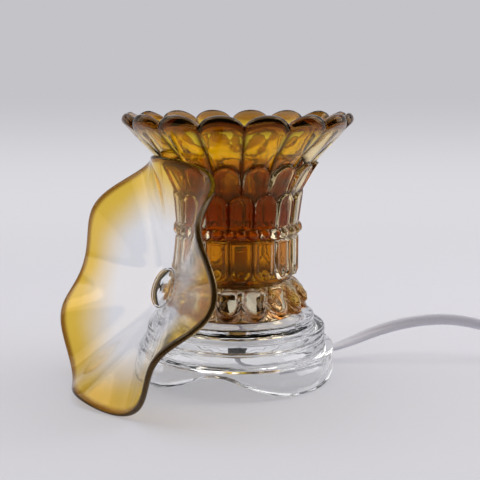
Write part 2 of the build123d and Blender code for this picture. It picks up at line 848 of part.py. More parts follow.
# Coil, swept along arcs that meet without a corner
coil_steps = round(4 * coil_turns)
with BuildPart() as cord_coil:
    with BuildLine() as winding:
        Line(coil_entry, coil_point(0))
        for k in range(coil_steps):
            start, end = coil_point(k / 4), coil_point((k + 1) / 4)
            start_way, end_way = coil_direction(k / 4), coil_direction((k + 1) / 4)
            joint = biarc_joint(start, start_way, end, end_way)
            first_arc = TangentArc(start, joint, tangent=start_way)
            TangentArc(joint, end, tangent=first_arc % 1)
        Line(coil_point(coil_turns), coil_exit)
    with BuildSketch(Plane(origin=winding.line @ 0, x_dir=(0, 0, 1), z_dir=winding.line % 0)):
        SlotOverall(cord_width, cord_thickness)
    sweep()
cord_coil.part.label = "cord_coil"
export_step(cord_coil.part, "parts/cord_coil.step")

samples = [coil_point(coil_turns * k / 600) for k in range(601)]
self_gap = min(
    hypot(a.X - b.X, a.Y - b.Y, max(abs(a.Z - b.Z) - (cord_width - cord_thickness), 0)) - cord_thickness
    for i, a in enumerate(samples)
    for b in samples[i + 50:]
)
print("coil length", round(winding.wire().length), "least gap to itself", round(self_gap, 2))

# Tie round the coil's bundle
tie_share = tie_angle / 360
tie_turns = [k + tie_share for k in range(round(coil_turns))]
tie_low = min(coil_radius(turn) for turn in tie_turns) - cord_thickness / 2 - tie_gap
tie_high = max(coil_radius(turn) for turn in tie_turns) + cord_thickness / 2 + tie_gap
bundle_height = cord_width + coil_layer_pitch + 2 * tie_gap
tie_out = polar_point(1, tie_angle)
tie_middle = (
    coil_centre[0] + tie_out[0] * (tie_low + tie_high) / 2,
    coil_centre[1] + tie_out[1] * (tie_low + tie_high) / 2,
    tie_thickness + bundle_height / 2,
)
with BuildPart() as cord_tie:
    with BuildSketch(Plane(origin=tie_middle, x_dir=(*tie_out, 0), z_dir=(-tie_out[1], tie_out[0], 0))):
        RectangleRounded(tie_high - tie_low + 2 * tie_thickness, bundle_height + 2 * tie_thickness,
                         tie_thickness + tie_gap)
        RectangleRounded(tie_high - tie_low, bundle_height, tie_gap, mode=Mode.SUBTRACT)
    extrude(amount=tie_width / 2, both=True)
cord_tie.part.label = "cord_tie"
export_step(cord_tie.part, "parts/cord_tie.step")

# Last stretch of cord and the plug, which lies on its narrow side
plug_height = plug_body_width / 2
plug_entry = (coil_exit.X - 3 * cord_width, coil_exit.Y, plug_height)
end_points = [
    tuple(coil_exit), tuple(coil_exit + coil_exit_way * cord_width),
    (plug_entry[0] + cord_width, coil_exit.Y, plug_height), plug_entry,
]
cord_end = flat_cord(end_points, (0, 0, 1))
cord_end.label = "cord_end"
export_step(cord_end, "parts/cord_end.step")

plug_back = Plane(origin=plug_entry, x_dir=(0, 0, 1), z_dir=(-1, 0, 0))
blade_start = plug_neck_length + plug_body_length - blade_in_body
with BuildPart() as plug_blades:
    with BuildSketch(plug_back.offset(blade_start)):
        with GridLocations(blade_spacing, 0, 2, 1):
            Rectangle(blade_thickness, blade_width)
    extrude(amount=blade_in_body + blade_length)
plug_blades.part.label = "plug_blades"
export_step(plug_blades.part, "parts/plug_blades.step")

with BuildPart() as plug_body:
    with BuildSketch(plug_back.offset(plug_neck_length)):
        RectangleRounded(plug_body_width, plug_body_thickness, plug_corner)
    extrude(amount=plug_body_length)
    fillet(plug_body.faces().sort_by(Axis.X)[-1].edges(), plug_corner / 2)
    with BuildSketch(plug_back):
        Circle(plug_neck_radius)
    extrude(amount=plug_neck_length)
    with BuildSketch(plug_back.offset(blade_start)):
        with GridLocations(blade_spacing, 0, 2, 1):
            Rectangle(blade_thickness, blade_width)
    extrude(amount=blade_in_body, mode=Mode.SUBTRACT)
plug_body.part.label = "plug_body"
export_step(plug_body.part, "parts/plug_body.step")

# Switch: two half shells, thumb wheel on an axle, contact leaves and screws
switch_top = 2 * switch_half
wheel_height = switch_top - wheel_radius + wheel_stand_out
cord_hole = cord_width / 2 + switch_cord_gap
inside_length = switch_length - 2 * switch_wall
inside_width = switch_width - 2 * switch_wall
switch_plane = Plane(origin=(*switch_centre, 0))
along_cord = Plane(origin=(switch_centre[0], switch_centre[1], switch_half), z_dir=(1, 0, 0))
along_axle = Plane(origin=(switch_centre[0], switch_centre[1], wheel_height), z_dir=(0, 1, 0))
screw_places = [
    (switch_screw_spacing / 2, switch_screw_side), (-switch_screw_spacing / 2, -switch_screw_side)]

with BuildPart() as switch_lower:
    with BuildSketch(switch_plane):
        RectangleRounded(switch_length, switch_width, switch_corner)
    extrude(amount=switch_half)
    fillet(switch_lower.faces().sort_by(Axis.Z)[0].edges(), switch_wall)
    with BuildSketch(switch_plane.offset(switch_wall)):
        RectangleRounded(inside_length, inside_width, switch_corner - switch_wall)
    extrude(amount=switch_half, mode=Mode.SUBTRACT)
    with BuildSketch(switch_plane.offset(switch_wall)):
        with Locations(*screw_places):
            Circle(screw_head_radius + boss_wall)
    extrude(amount=switch_half - switch_wall)
    with BuildSketch(switch_plane):
        with Locations(*screw_places):
            Circle(screw_shank_radius + thread_gap)
    extrude(amount=switch_half, mode=Mode.SUBTRACT)
    with BuildSketch(switch_plane):
        with Locations(*screw_places):
            Circle(screw_head_radius + thread_gap)
    extrude(amount=screw_head + seat_gap, mode=Mode.SUBTRACT)
    with BuildSketch(along_cord):
        Circle(cord_hole)
    extrude(amount=switch_length / 2, both=True, mode=Mode.SUBTRACT)
switch_lower.part.label = "switch_lower"
export_step(switch_lower.part, "parts/switch_lower.step")

with BuildPart() as switch_upper:
    with BuildSketch(switch_plane.offset(switch_half)):
        RectangleRounded(switch_length, switch_width, switch_corner)
    extrude(amount=switch_half)
    fillet(switch_upper.faces().sort_by(Axis.Z)[-1].edges(), switch_wall)
    with BuildSketch(switch_plane.offset(switch_half)):
        RectangleRounded(inside_length, inside_width, switch_corner - switch_wall)
    extrude(amount=switch_half - switch_wall, mode=Mode.SUBTRACT)
    with BuildSketch(switch_plane.offset(switch_half)):
        with Locations(*screw_places):
            Circle(screw_shank_radius + boss_wall)
    extrude(amount=switch_half - switch_wall)
    with BuildSketch(switch_plane.offset(switch_half)):
        with Locations(*screw_places):
            Circle(screw_shank_radius + thread_gap)
    extrude(amount=screw_head + seat_gap + screw_shank - switch_half + seat_gap, mode=Mode.SUBTRACT)
    with BuildSketch(switch_plane.offset(switch_half)):
        Rectangle(2 * wheel_radius + 2 * seat_gap, wheel_width + 2 * seat_gap)
    extrude(amount=switch_half, mode=Mode.SUBTRACT)
    with BuildSketch(along_axle):
        Circle(axle_radius + thread_gap)
    extrude(amount=inside_width / 2 + switch_wall / 2, both=True, mode=Mode.SUBTRACT)
    with BuildSketch(along_cord):
        Circle(cord_hole)
    extrude(amount=switch_length / 2, both=True, mode=Mode.SUBTRACT)
switch_upper.part.label = "switch_upper"
export_step(switch_upper.part, "parts/switch_upper.step")

with BuildPart() as switch_axle:
    with BuildSketch(along_axle):
        Circle(axle_radius)
    extrude(amount=inside_width / 2 + switch_wall / 2 - thread_gap, both=True)
switch_axle.part.label = "switch_axle"
export_step(switch_axle.part, "parts/switch_axle.step")

with BuildPart() as switch_wheel:
    with BuildSketch(along_axle):
        Circle(wheel_radius)
        with PolarLocations(wheel_radius, wheel_ribs):
            Circle(wheel_rib, mode=Mode.SUBTRACT)
        Circle(axle_radius + axle_gap, mode=Mode.SUBTRACT)
    extrude(amount=wheel_width / 2, both=True)
switch_wheel.part.label = "switch_wheel"
export_step(switch_wheel.part, "parts/switch_wheel.step")

with BuildPart() as switch_contacts:
    with BuildSketch(switch_plane.offset(switch_wall)):
        with GridLocations(0, wheel_width + contact_leaf_width + 2 * seat_gap, 1, 2):
            Rectangle(contact_leaf_length, contact_leaf_width)
    extrude(amount=contact_leaf)
switch_contacts.part.label = "switch_contacts"
export_step(switch_contacts.part, "parts/switch_contacts.step")

with BuildPart() as switch_screws:
    with BuildSketch(switch_plane.offset(seat_gap)):
        with Locations(*screw_places):
            Circle(screw_head_radius)
    extrude(amount=screw_head)
    with BuildSketch(switch_plane.offset(seat_gap + screw_head)):
        with Locations(*screw_places):
            Circle(screw_shank_radius)
    extrude(amount=screw_shank)
switch_screws.part.label = "switch_screws"
export_step(switch_screws.part, "parts/switch_screws.step")
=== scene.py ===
# %% [markdown]
# A wax melt warmer in pressed glass: a clear stepped base, a flower-shaped shade stained amber, a ruffled
# dish that leans on the shade, and a white flat lead. The lesson is how clear glass and a thin stain make
# the look. Most of the colour sits on the shade's inner faces, so the silhouette stays light while the
# middle turns golden and brown. Outside, the lip is darkened by stain and painted shade, and the edges and
# corners of the relief by painted shade.

# %% Load the frame
import json
from math import atan2, cos, hypot, pi, radians, sin, sqrt

import bmesh
import bpy
from mathutils import Matrix, Vector


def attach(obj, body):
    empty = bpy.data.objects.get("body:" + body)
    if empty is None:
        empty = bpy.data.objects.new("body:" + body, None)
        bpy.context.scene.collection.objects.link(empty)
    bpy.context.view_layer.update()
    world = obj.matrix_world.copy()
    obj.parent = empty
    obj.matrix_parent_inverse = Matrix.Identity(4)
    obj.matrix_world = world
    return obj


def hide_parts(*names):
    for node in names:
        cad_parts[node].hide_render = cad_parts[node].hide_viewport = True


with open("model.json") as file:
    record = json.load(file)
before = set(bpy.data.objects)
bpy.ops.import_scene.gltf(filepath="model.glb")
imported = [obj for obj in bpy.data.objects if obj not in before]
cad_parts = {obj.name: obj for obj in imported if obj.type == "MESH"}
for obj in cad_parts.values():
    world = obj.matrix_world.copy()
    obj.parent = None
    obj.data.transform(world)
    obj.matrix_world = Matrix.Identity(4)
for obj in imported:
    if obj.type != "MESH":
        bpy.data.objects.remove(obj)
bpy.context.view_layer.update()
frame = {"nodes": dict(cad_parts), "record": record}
node = frame["nodes"]
mm = 0.001

# %% [markdown]
# The camera stands half a metre in front of the lamp, a little above its rim, and looks down by ten
# degrees. A long lens could be guessed by eye; here its place comes from the widths of the three steps
# of the base and the ring of the shade, which fix both distance and height.

# %% Camera
camera_data = bpy.data.cameras.new("camera")
camera_data.lens = 66.88
camera_data.sensor_width = 36
camera = bpy.data.objects.new("camera", camera_data)
camera.location = (0, -0.47043, 0.1523)
camera.rotation_euler = (radians(90 - 9.62), 0, radians(-0.17))
bpy.context.collection.objects.link(camera)
bpy.context.scene.camera = camera
bpy.context.scene.view_settings.view_transform = "Standard"
print("camera", tuple(camera.location), "lens", camera_data.lens)

# %% [markdown]
# Every finish below is a node tree. One function adds a node, sets what it is given and links what is a
# socket. Colours are written as sRGB hex values, because that is what an eye or a colour card gives, and
# turned to linear light once.


# %% Nodes and colours
def linear(code):
    """An sRGB hex colour as linear RGBA."""
    values = [int(code[k:k + 2], 16) / 255 for k in (1, 3, 5)]
    return [v / 12.92 if v <= 0.04045 else ((v + 0.055) / 1.055) ** 2.4 for v in values] + [1]


def add_node(tree, kind, **settings):
    """A shader node with its settings. _6 means input 6, and stops are a ramp's (place, hex) pairs."""
    made = tree.nodes.new(kind)
    for name, value in settings.items():
        if name == "stops":
            ramp = made.color_ramp.elements
            for place, tone in value:
                ramp.new(place).color = linear(tone)
            ramp.remove(ramp[0])
            ramp.remove(ramp[-1])
        elif hasattr(made, name):
            setattr(made, name, value)
        else:
            socket = made.inputs[int(name[1:]) if name[1:].isdigit() else name.replace("_", " ")]
            if isinstance(value, bpy.types.NodeSocket):
                tree.links.new(value, socket)
            else:
                socket.default_value = value
    return made


print("amber in linear light:", [round(part, 3) for part in linear("#f8ce50")])

# %% [markdown]
# A pattern is laid out on the piece's own coordinates, which are in metres. So the scale of a noise is one
# over the size of its marks, and a grain of a millimetre is written as a millimetre.


# %% Surfaces
def new_material(name):
    """A material with its node tree and its main shader."""
    material = bpy.data.materials.new(name)
    material.use_nodes = True
    return material, material.node_tree, material.node_tree.nodes["Principled BSDF"]


def object_place(tree):
    """The place on the piece, in metres, that every pattern is laid out on."""
    return add_node(tree, "ShaderNodeTexCoord").outputs["Object"]


def grain(tree, surface, size, depth):
    """Moulded or rolled grain of a size and depth in mm; returns the noise for the colour."""
    noise = add_node(tree, "ShaderNodeTexNoise", Vector=object_place(tree), Scale=1 / (size * mm), Detail=4.0)
    bump = add_node(tree, "ShaderNodeBump", Height=noise.outputs["Fac"], Strength=0.15, Distance=depth * mm)
    tree.links.new(bump.outputs["Normal"], surface.inputs["Normal"])
    return noise.outputs["Fac"]


print("scale of a grain of 1 mm:", round(1 / mm))

# %% [markdown]
# Round pressed glass is easiest to think of as a turned outline: a closed line of (radius, height) pairs
# spun about the lamp's axis. Each point remembers its place in the outline as a row number, so that the
# moulded relief can later be pressed into chosen rows only.


# %% Shapes
def smooth(x):
    """Nought below 0, one above 1, with an S between."""
    x = min(max(x, 0), 1)
    return x * x * (3 - 2 * x)


def read_line(table, x):
    """Straight lines through (x, value) pairs."""
    for (x0, v0), (x1, v1) in zip(table, table[1:]):
        if x <= x1:
            return v0 + (v1 - v0) * (x - x0) / (x1 - x0)
    return table[-1][1]


def spun(outline, steps):
    """A closed outline in mm turned about Z; each point keeps its row."""
    bm = bmesh.new()
    row = bm.verts.layers.float.new("row")
    verts = []
    for k, (radius, height) in enumerate(outline):
        vert = bm.verts.new((radius * mm, 0, height * mm))
        vert[row] = k
        verts.append(vert)
    edges = [bm.edges.new(pair) for pair in zip(verts, verts[1:] + verts[:1])]
    bmesh.ops.spin(
        bm, geom=verts + edges, axis=(0, 0, 1), cent=(0, 0, 0), angle=2 * pi, steps=steps, use_merge=True)
    bmesh.ops.remove_doubles(bm, verts=bm.verts, dist=1e-7)
    return bm, row


print("smooth step at a quarter:", smooth(0.25))

# %% [markdown]
# Every new piece is finished in one way: normals outward, smooth shading, hard edges kept hard, and one
# material. Then it is told which body it rides on and which solids it stands for.


# %% Finished pieces
def finish_mesh(bm, name, material, sharp=None):
    """Turns normals outward, shades smooth, and keeps edges sharper than the given angle."""
    bmesh.ops.recalc_face_normals(bm, faces=bm.faces)
    for face in bm.faces:
        face.smooth = True
    if sharp is not None:
        for edge in bm.edges:
            if len(edge.link_faces) == 2 and edge.calc_face_angle() > radians(sharp):
                edge.smooth = False
    mesh = bpy.data.meshes.new(name)
    bm.to_mesh(mesh)
    bm.free()
    mesh.materials.append(material)
    piece = bpy.data.objects.new(name, mesh)
    bpy.context.collection.objects.link(piece)
    print(name, len(mesh.polygons), "faces")
    return piece


def dress(piece, body, slot, *solids):
    """Lets a piece ride on its body and stand for its solids, which are hidden; slot is not used."""
    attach(piece, body)
    if solids:
        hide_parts(*solids)


# %% [markdown]
# The lead is a flat twin cord, 6.6 mm wide. It drops out of the bush under the base, leaves through an
# arch, rises in a stiff low hump and comes down into the roller switch. The rest is put away in a tied
# coil with the plug lying on it. The points are those of the solids, used as control points of a smooth
# NURBS line, because cord bends in one flowing line and not in arcs and straights.

# %% Cord routes
lead_route = [
    (0, 0, 18.4), (0, 0, 13.6), (2.6, 0.8, 9.0), (7.1, 2.2, 6.5), (15.5, 4.9, 5.6), (31, 9.6, 5.4),
    (49, 15.5, 6.4), (65, 20.5, 10.6), (80, 23.5, 16.3), (97, 25.5, 20.5), (114, 26.2, 22.3),
    (127, 25.6, 21.8), (139.5, 24, 19.5), (150.5, 21.6, 16.2), (161, 17.2, 12.8), (171, 11, 10.2),
    (180, 7.6, 8.8), (188, 7, 8.5),
]
coil_middle = (235.0, 64.0)
coil_radius, coil_pitch = 27.5, 4.3
coil_floor, coil_layer = 5.1, 7.2
turns_in, turns_out = 3.0, 3.25
points_per_turn = 24


def coil_point(turn):
    """Three turns inward on the floor, a climb, and three and a quarter outward on top."""
    away = abs(turn - turns_in)
    radius = coil_radius + coil_pitch * (away if away >= 0.25 else 2 * away**2 + 0.125)
    climbed = smooth((turn - turns_in) * 2 + 0.5)
    angle = 2 * pi * turn
    return (coil_middle[0] + radius * cos(angle), coil_middle[1] + radius * sin(angle),
            coil_floor + coil_layer * climbed)


coil_count = round((turns_in + turns_out) * points_per_turn)
coil_route = [coil_point(k / points_per_turn) for k in range(coil_count + 1)]
tail_route = [
    (235, 7, 8.5), (245, 7.4, 8.2), (254.5, 11, 7.6), (262.8, 17.8, 6.9), (269, 27, 6.2), (273, 38, 5.6),
    (275.2, 47.5, 5.1), (275.4, 57.4, 5.1),
] + coil_route + [(228.4, 105.6, 12.3), (221.8, 105.6, 12.3), (215.2, 105.6, 11.5), (208.6, 105.6, 11.5)]
print("control points:", len(lead_route), "on the lead,", len(tail_route), "on the tail")


# %% Cord lines
def route_line(name, route):
    """The points of a smooth line: a NURBS spline of order 3 read back as a mesh."""
    curve = bpy.data.curves.new(name, "CURVE")
    curve.dimensions = "3D"
    spline = curve.splines.new("NURBS")
    spline.points.add(len(route) - 1)
    for point, place in zip(spline.points, route):
        point.co = (place[0] * mm, place[1] * mm, place[2] * mm, 1)
    spline.order_u = 3
    spline.use_endpoint_u = True
    spline.resolution_u = 5
    holder = bpy.data.objects.new(name, curve)
    bpy.context.collection.objects.link(holder)
    bpy.context.view_layer.update()
    line_mesh = bpy.data.meshes.new_from_object(holder)
    line = [v.co.copy() for v in line_mesh.vertices]
    bpy.data.objects.remove(holder)
    return line


def line_length(line):
    """The length of a line of points, in metres."""
    return sum((b - a).length for a, b in zip(line, line[1:]))


lead_line = route_line("lead_line", lead_route)
tail_line = route_line("tail_line", tail_route)
print("lead", round(line_length(lead_line), 3), "m, tail", round(line_length(tail_line), 3), "m")

# %% [markdown]
# Flat cord is soft PVC, drawn through a die with a groove down the middle of each face. It is satin, not
# glossy, and a cool white that goes lavender in the shade. Its grain is finer than a pixel, so it is
# drawn about a millimetre coarse to show at all.

# %% Cord plastic
cord_plastic, tree, surface = new_material("white_flexible_pvc")
speck = grain(tree, surface, 1.1, 0.2)
tone = add_node(tree, "ShaderNodeMix", data_type="RGBA", _0=speck, _6=linear("#e6e4f0"), _7=linear("#f3f1fa"))
tree.links.new(tone.outputs[2], surface.inputs["Base Color"])
surface.inputs["Roughness"].default_value = 0.42
surface.inputs["Subsurface Weight"].default_value = 0.1
surface.inputs["Subsurface Radius"].default_value = (0.002, 0.002, 0.002)
surface.inputs["Subsurface Scale"].default_value = 0.5
print(cord_plastic.name, "has", len(tree.nodes), "nodes")

# %% [markdown]
# The cord's section is two round cores side by side. A bevelled curve would turn it as it likes, so it is
# carried along the line in rings whose wide side is given.


# %% Cord section
def twin_section(half_width=3.3, half_thickness=1.6, groove=0.34, count=28):
    """The flat outline in mm: two round cores with a shallow groove between them."""
    section = []
    for k in range(count):
        angle = 2 * pi * k / count
        side = 1 if sin(angle) >= 0 else -1
        wide = half_width * cos(angle)
        dip = groove * max(0, 1 - (wide / 0.75) ** 2)
        section.append((wide, side * (half_thickness * abs(sin(angle)) ** 0.75 - dip)))
    return section


def along_line(bm, line, wide_ways, section_at):
    """Rings of vertices across a line; wide_ways gives (share of length, wide direction)."""
    rings, done, whole = [], 0.0, line_length(line)
    for k, place in enumerate(line):
        if k:
            done += (place - line[k - 1]).length
        along = (line[min(k + 1, len(line) - 1)] - line[max(k - 1, 0)]).normalized()
        wide = Vector([read_line([(s, w[axis]) for s, w in wide_ways], done / whole) for axis in range(3)])
        wide = (wide - along * wide.dot(along)).normalized()
        thick = along.cross(wide)
        rings.append([bm.verts.new(place + (wide * a + thick * b) * mm) for a, b in section_at(k)])
    return rings


def join_rings(bm, rings):
    """Quads between each ring and the next."""
    for ring, after in zip(rings, rings[1:]):
        for k in range(len(ring)):
            m = (k + 1) % len(ring)
            bm.faces.new((ring[k], ring[m], after[m], after[k]))


def flat_cord(name, line, wide_ways):
    """A cord with closed ends, from its line."""
    bm = bmesh.new()
    section = twin_section()
    rings = along_line(bm, line, wide_ways, lambda k: section)
    join_rings(bm, rings)
    bm.faces.new(rings[0])
    bm.faces.new(rings[-1])
    return finish_mesh(bm, name, cord_plastic, sharp=70)


print("section:", len(twin_section()), "points")

# %% [markdown]
# The wide side is given along the way: flat where the cord leaves the base, then on edge, as a
# stiff flat cord twists in a hump. In the coil it stays on edge, because it bends easily only that way.

# %% Cord bodies
exit_side = (sin(radians(-17.5)), cos(radians(17.5)), 0)
on_edge = (0, 0, 1)
lead_twist = [
    (0, exit_side), (0.3, exit_side), (0.5, (0, 0.45, 0.9)), (0.6, (0, 0.2, 0.98)), (1, on_edge)]
tail_twist = [(0, on_edge), (1, on_edge)]
lead_cord = flat_cord("lead_cord", lead_line, lead_twist)
tail_cord = flat_cord("tail_cord", tail_line, tail_twist)
dress(lead_cord, "lamp", "white_pvc", "cord_lead")
dress(tail_cord, "lamp", "white_pvc", "cord_tail", "cord_coil", "cord_end")

# %% [markdown]
# Behind the plug's neck the cord runs through a ribbed sleeve that tapers to the cord's own width, so it
# bends over a length and not at a point. It is a wall between two sections, closed at both ends.

# %% Strain relief
sleeve_points = 12
sleeve_line = tail_line[-sleeve_points:][::-1]
sleeve_wall, sleeve_taper, sleeve_rib = 1.0, 0.65, 0.22
bore_width, bore_thickness = 3.45, 1.75


def sleeve_section(k):
    """The outside of the sleeve at its k-th ring, with a rib on every second one."""
    wall = sleeve_wall - sleeve_taper * k / (sleeve_points - 1) + sleeve_rib * (k % 2)
    return twin_section(bore_width + wall, bore_thickness + wall, 0.0)


bm = bmesh.new()
bore = twin_section(bore_width, bore_thickness, 0.0)
outer_rings = along_line(bm, sleeve_line, tail_twist, sleeve_section)
inner_rings = along_line(bm, sleeve_line, tail_twist, lambda k: bore)
join_rings(bm, [inner_rings[0]] + outer_rings + inner_rings[::-1])
plug_sleeve = finish_mesh(bm, "plug_strain_relief", cord_plastic, sharp=40)
dress(plug_sleeve, "lamp", "white_pvc")
print("sleeve", round(line_length(sleeve_line) / mm, 1), "mm long")

# %% [markdown]

# %% [markdown]
# Soda-lime glass pressed in an iron mould is clear and smooth, with a slow waviness from the mould. It
# is a smooth dielectric of index 1.5. In Cycles a glass surface tints light by the root of its
# base colour at each crossing, so a stain is written as the tint of two crossings.


# %% Glass
def glass(name, colour):
    """Smooth clear glass of one tint."""
    material, tree, surface = new_material(name)
    surface.inputs["Base Color"].default_value = linear(colour)
    surface.inputs["Roughness"].default_value = 0.0
    surface.inputs["IOR"].default_value = 1.5
    surface.inputs["Transmission Weight"].default_value = 1.0
    return material, tree, surface


def pressed(tree, surface, wave, depth):
    """The slow waviness that a mould leaves, by wave length and depth in mm."""
    noise = add_node(tree, "ShaderNodeTexNoise", Vector=object_place(tree), Scale=1 / (wave * mm), Detail=2.0)
    bump = add_node(tree, "ShaderNodeBump", Height=noise.outputs["Fac"], Strength=0.35, Distance=depth * mm)
    tree.links.new(bump.outputs["Normal"], surface.inputs["Normal"])


clear_glass, tree, surface = glass("clear_pressed_glass", "#fcfdfd")
pressed(tree, surface, 14, 1.2)
print(clear_glass.name, "index", surface.inputs["IOR"].default_value)

# %% [markdown]
# The shade is stained, not coloured through. Outside the stain is only a breath; the lip is darker, partly
# heavier stain and partly painted shade. Inside it is brown in the body, lighter behind the flutes and golden
# on the petals. The edges and corners of the relief are darkened with painted shade, and the hem of the foot
# with stain and painted shade. One material holds all of it, told apart by two attributes, because a volume
# has to be entered and left through the same material.

# %% Amber stain
ramp_height = 142 * mm
shade_amber, tree, surface = glass("amber_stained_glass", "#ffffff")
pressed(tree, surface, 11, 0.6)
depth = add_node(tree, "ShaderNodeVolumeAbsorption", Density=38.0, Color=linear("#f8dd59"))
tree.links.new(depth.outputs["Volume"], tree.nodes["Material Output"].inputs["Volume"])
height = add_node(tree, "ShaderNodeSeparateXYZ", Vector=object_place(tree)).outputs["Z"]
level = add_node(tree, "ShaderNodeMath", operation="MULTIPLY", _0=height, _1=1 / ramp_height).outputs[0]
# over the lip the outside ramp turns dark: heavier stain together with painted shade
outside = add_node(tree, "ShaderNodeValToRGB", Fac=level, stops=[
    (0.42, "#fbfbf9"), (0.66, "#fbf3e2"), (0.912, "#fae8bd"), (0.937, "#5a3010"), (0.985, "#2a1305")])
inside = add_node(tree, "ShaderNodeValToRGB", Fac=level, stops=[
    (0.28, "#fbf8f0"), (0.345, "#f4e8cf"), (0.355, "#2e0b00"), (0.382, "#360e00"), (0.402, "#cb7d05"),
    (0.515, "#cb7d05"), (0.55, "#8c2600"), (0.66, "#741a00"), (0.75, "#5e1800"), (0.79, "#934200"),
    (0.825, "#dc940a"), (0.855, "#ffd00a")])
# painted shade for the edges and corners of the relief, and stain with painted shade along the foot's hem
hem_stain_and_edge_shade_ramp = add_node(tree, "ShaderNodeValToRGB", Fac=level, stops=[
    (0.35, "#7e3c07"), (0.39, "#4a1a03"), (0.62, "#2c0d02"), (0.86, "#1e0901"), (0.96, "#3a1503")])
coated = add_node(tree, "ShaderNodeAttribute", attribute_name="coat").outputs["Fac"]
hem_stain_and_edge_shade_mask = add_node(tree, "ShaderNodeAttribute", attribute_name="hem_stain_and_edge_shade").outputs["Fac"]
stained = add_node(
    tree, "ShaderNodeMix", data_type="RGBA", _0=coated, _6=outside.outputs["Color"],
    _7=inside.outputs["Color"])
with_hem_stain_and_edge_shade = add_node(
    tree, "ShaderNodeMix", data_type="RGBA", _0=hem_stain_and_edge_shade_mask, _6=stained.outputs[2], _7=hem_stain_and_edge_shade_ramp.outputs["Color"])
tree.links.new(with_hem_stain_and_edge_shade.outputs[2], surface.inputs["Base Color"])
surface.inputs["Specular Tint"].default_value = linear("#ffc469")  # the film mirrors a warm light
print(shade_amber.name, "has", len(tree.nodes), "nodes")

# %% [markdown]
# The shade's outside carries sixteen of everything: drops at the foot, U-shaped flutes, a ring of beads,
# two rows of scales and petals. They could be modelled one by one and joined, but a pressed piece has
# one skin. So the outline is spun, and each outer row is moved by a function of height and angle.

# %% Shade outline
foot_z = 34.3
outer_core = [
    (36.4, 36.0), (36.5, 37.0), (39.6, 39.3), (42.0, 38.7), (46.0, 35.9), (49.5, 32.6), (52.3, 29.4),
    (53.4, 28.9), (55.0, 29.9), (56.2, 30.7), (96.8, 30.7), (100, 31.5), (105.3, 34.2), (112.5, 39.2),
    (119.8, 45.4), (128, 53.2), (135.7, 60.3),
]
inner_cone = [
    (34.3, 26.0), (49, 26.0), (52, 28.0), (96.8, 28.0), (105.3, 30.2), (119.8, 38.8), (140.3, 53.1)]
lip = [
    (60.5, 137.2), (60.0, 138.8), (59.0, 139.9), (57.5, 140.3), (55.9, 140.1), (54.3, 139.3), (52.6, 137.8)]
foot = [(26.0, foot_z), (29, foot_z), (31.4, foot_z), (31.4, 35.3), (33.4, 36.1), (35.6, 36.35)]


def heights(low, high, step):
    """Even heights from low to high, about a step apart."""
    count = round((high - low) / step)
    return [low + (high - low) * k / count for k in range(count + 1)]


outer_rows = heights(36.5, 54, 0.9) + heights(54.6, 117, 0.62) + heights(118, 135.7, 1.2)
inner_rows = heights(50, 136, 2.0)[::-1]
shade_outline = (
    foot + [(read_line(outer_core, z), z) for z in outer_rows] + lip
    + [(read_line(inner_cone, z), z) for z in inner_rows] + [(26.0, 46.0), (26.0, 40.0)])
print("shade outline:", len(shade_outline), "rows")

# %% [markdown]
# A moulded pad is described by how deep a point lies inside its outline, in mm. That one number gives
# the round edge, the sunk panel behind it, and where painted shade darkens its edge. The sizes of each row
# come first.

# %% Sizes of the relief
petals = 16
pitch = 2 * pi / petals
valley = radians(-86.65)
scallop = [
    (36.0, 4.2), (39.6, 4.2), (46, 2.6), (52.3, 0.4), (54, 0), (100, 0), (106, 1.0), (112, 2.0),
    (119.8, 3.0), (135.7, 4.0), (141, 4.0)]
waist = 31.4
edge_round, panel_in, panel_round = 0.8, 1.5, 0.9
end_slope = 1.2
drop_z, drop_run, drop_half, drop_proud, drop_fall = 47, 1.5, 5.3, 1.1, 2.6
flute_arc_z, flute_top_z, flute_half, flute_proud, flute_sunk = 61.3, 77, 5.75, 1.9, 0.75
pearl_z, pearl_proud = 59.6, 0.7
bead_z, bead, bead_fullness = 80.3, 3.05, 1.15
lower_foot_z, lower_arc_z, lower_half, lower_proud = 82, 94.5, 6.1, 1.6
upper_foot_z, upper_arc, upper_half, upper_proud = 96, 14.6, 6.7, 1.7
# the second value is how far painted shade reaches beyond a scale's outline, in mm
scale_sunk, scale_edge_shade_reach = 0.45, 4.0
print("bead", 2 * bead, "mm wide, flute", 2 * flute_half, "mm wide")


# %% Lobes and pads
def lobe_side(share):
    """Nought on a lobe's crest and one in the valley beside it, along a round arc."""
    return (1 - sqrt(1 - 0.96 * (2 * share - 1) ** 2)) / 0.8


def pad(inside, proud, sunk):
    """A pad's height: a rounded edge, and a panel sunk behind its rim."""
    return proud * smooth(inside / edge_round) - sunk * smooth((inside - panel_in) / panel_round)


def edge_share(inside, beyond=1.0):
    """The mask of painted edge shade: one on the outline of a pad, fading out a millimetre inward and some
    way beyond it.
    """
    return smooth(1 - inside) if inside > 0 else smooth(1 + inside / beyond)


def scale_radius(core, body, inside, proud):
    """The face of a scale, which rises from the body to its own leaning wall."""
    return body + (core - body) * smooth(inside / edge_round) + pad(inside, proud, scale_sunk)


print("flute at its edge and middle:", [round(pad(d, flute_proud, flute_sunk), 2) for d in (1, flute_half)])

# %% [markdown]
# Going up the shade, each row adds its pads to the turned core. Drops and petals sit on the lobes, flutes
# and lower scales in the valleys between them, and beads on both. A scale covers what is below it, so
# there the higher of the two surfaces counts.


